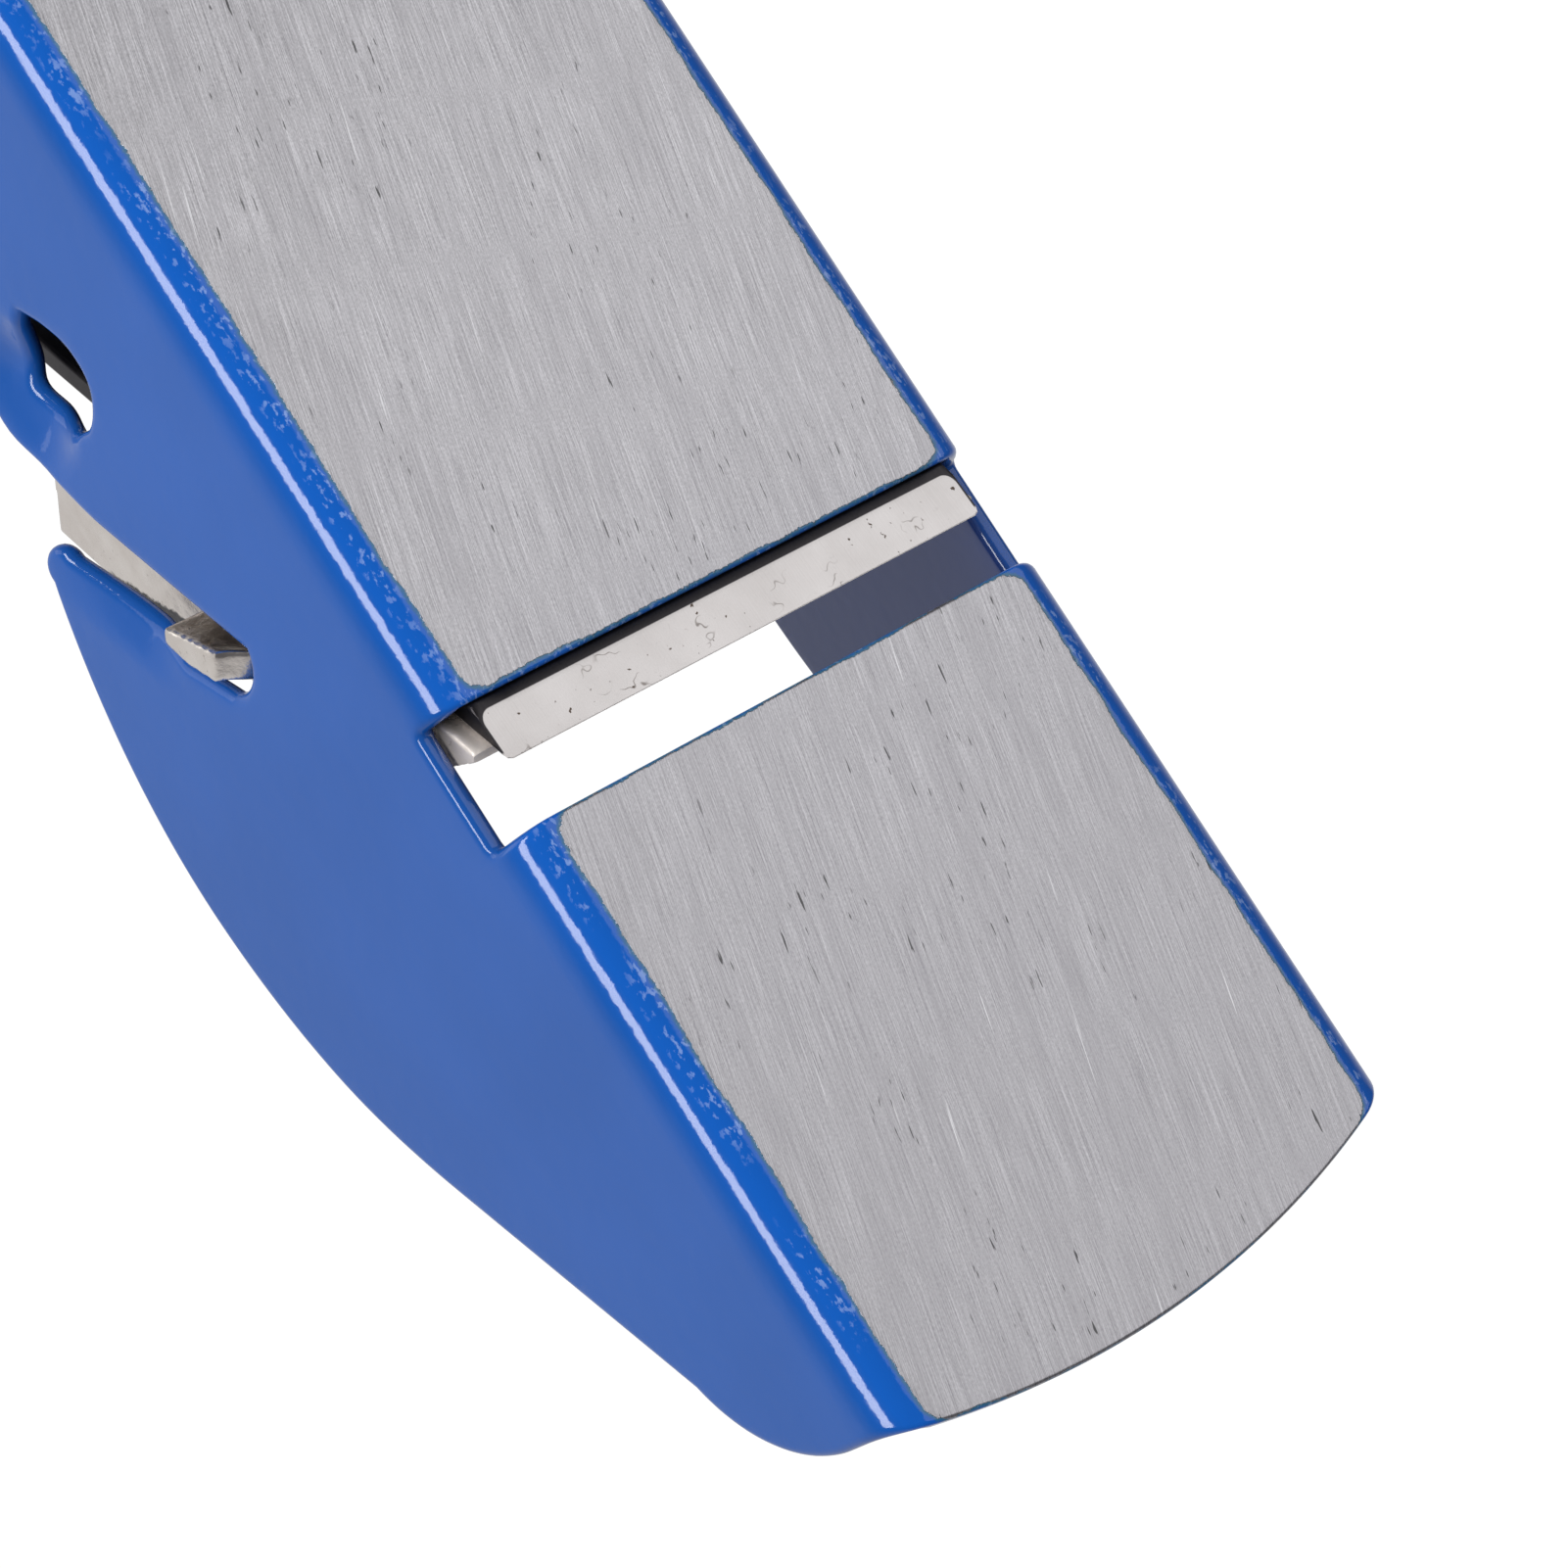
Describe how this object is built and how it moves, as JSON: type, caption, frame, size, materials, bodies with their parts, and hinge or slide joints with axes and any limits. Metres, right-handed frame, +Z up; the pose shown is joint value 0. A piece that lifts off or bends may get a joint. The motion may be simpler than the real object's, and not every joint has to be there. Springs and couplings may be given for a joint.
{
  "type": "block plane",
  "caption": "Small pressed-steel block plane with a ground sole, a bevel-down blade, a lever cap hooked in cheek slots and a screw depth adjuster.",
  "frame": {"origin": "middle of the sole's full length and width, on the sole's face", "axes": "+X towards the toe, +Y towards the plane's left side, +Z up from the sole"},
  "size_m": [0.16, 0.054, 0.0482],
  "materials": {
    "blue_enamel": "gloss enamel, sole ground bare",
    "zinc_plate": "zinc plated",
    "rivet_steel": "bright steel",
    "ground_steel": "ground",
    "nickel_plate": "nickel plated casting",
    "brass": "turned"
  },
  "bodies": {
    "frame": {"plane_body": "blue_enamel", "bed_bracket": "zinc_plate", "bed_rivets": "rivet_steel"},
    "blade": {"blade": "ground_steel", "adjust_carriage": "zinc_plate"},
    "adjuster": {"adjust_spindle": "rivet_steel", "adjust_wheel": "brass", "wheel_pin": "rivet_steel", "adjust_washer": "zinc_plate"},
    "cap": {"lever_cap": "nickel_plate"},
    "foot": {"clamp_foot": "brass"},
    "clamp": {"clamp_stud": "rivet_steel", "clamp_wheel": "nickel_plate"}
  },
  "joints": [
    {"name": "adjuster_spin", "type": "hinge", "parent": "frame", "child": "adjuster", "pos_m": [-0.05359, 0, 0.03611], "axis": [-0.866, 0, 0.5], "range_deg": [-720, 360]},
    {"name": "blade_depth", "type": "slide", "parent": "frame", "child": "blade", "axis": [0.866, 0, -0.5], "range_m": [-0.0016, 0.0008]},
    {"name": "cap_slide", "type": "slide", "parent": "frame", "child": "cap", "axis": [-0.866, 0, 0.5], "range_m": [0, 0.018]},
    {"name": "foot_lift", "type": "slide", "parent": "cap", "child": "foot", "axis": [0.5, 0, 0.866], "range_m": [0, 0.0015]},
    {"name": "clamp_spin", "type": "hinge", "parent": "foot", "child": "clamp", "pos_m": [-0.02433, 0, 0.0348], "axis": [0.5, 0, 0.866], "range_deg": [0, 540]}
  ],
  "couplings": [
    {"joint": "adjuster_spin", "follows": "blade_depth", "rad_per_m": 7854},
    {"joint": "foot_lift", "follows": "clamp_spin", "m_per_rad": 0.00015915}
  ]
}
